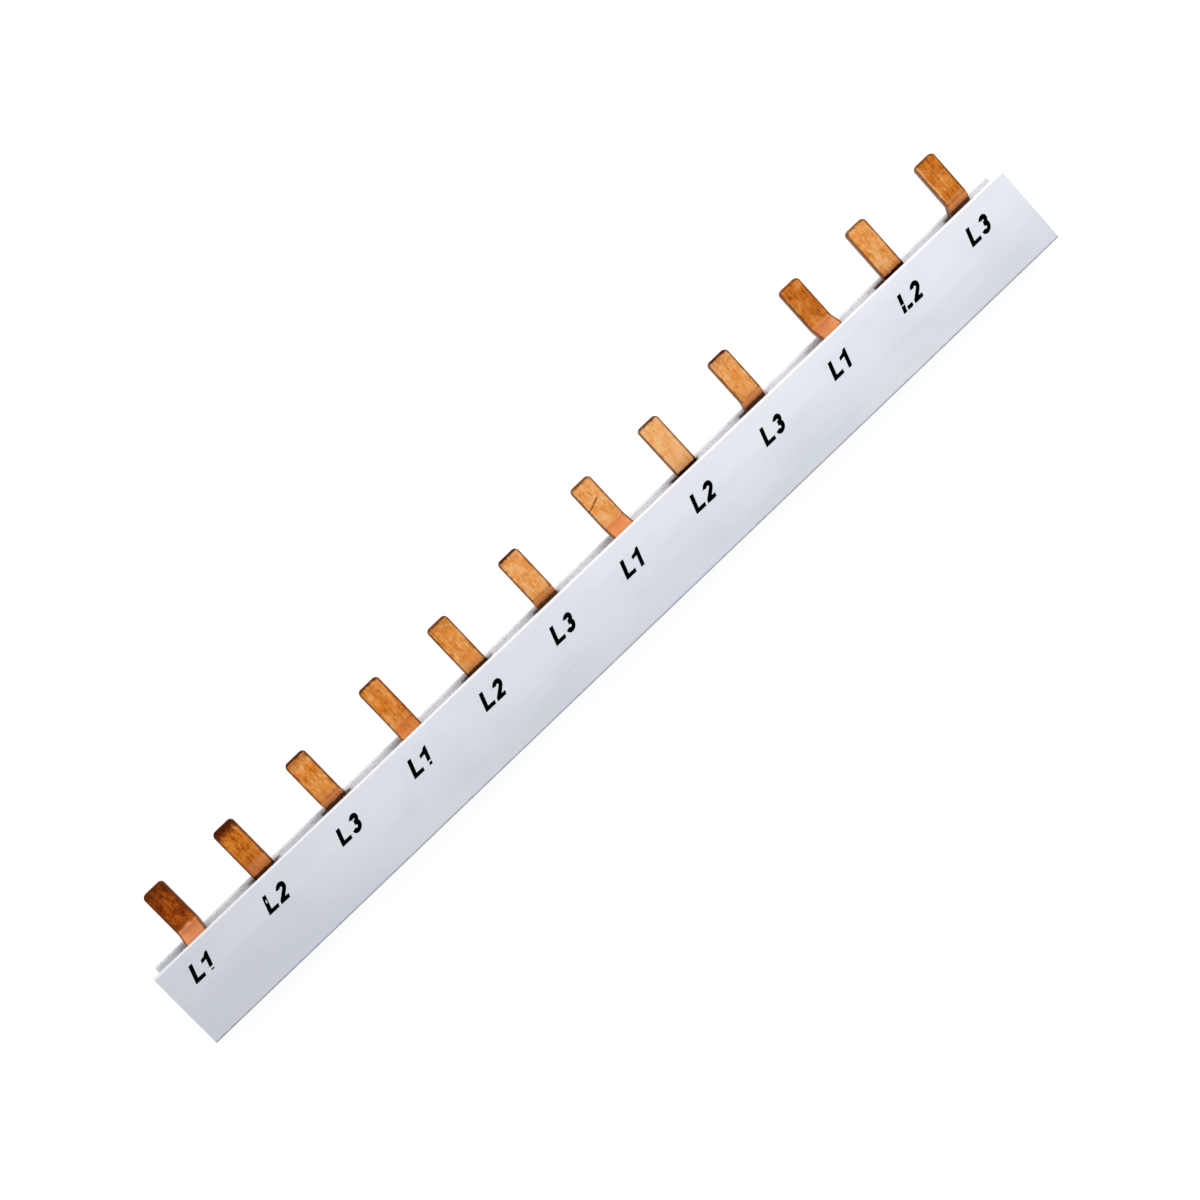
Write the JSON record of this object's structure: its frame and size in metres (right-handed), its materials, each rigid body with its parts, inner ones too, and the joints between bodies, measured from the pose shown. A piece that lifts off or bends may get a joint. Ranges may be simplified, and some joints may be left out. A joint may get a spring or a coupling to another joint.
{
  "type": "comb busbar",
  "caption": "Pin-type comb busbar: joggled copper combs in an open-edged extruded insulating profile, their pins in one line, to feed a row of modular circuit breakers.",
  "frame": {"origin": "centre of the profile's rear face, which the busbar lies on", "axes": "+X along the bar from its first pin to its last, +Y the way the pins point, +Z out of the printed front face"},
  "size_m": [0.2136, 0.028, 0.0112],
  "materials": {
    "profile_plastic": "satin, light bluish grey",
    "copper": "bare copper strip, brushed and lightly tarnished",
    "print_ink": "matte black marking ink"
  },
  "bodies": {
    "root": {"profile": "profile_plastic", "front_comb": "copper", "middle_comb": "copper", "rear_comb": "copper"}
  },
  "joints": []
}
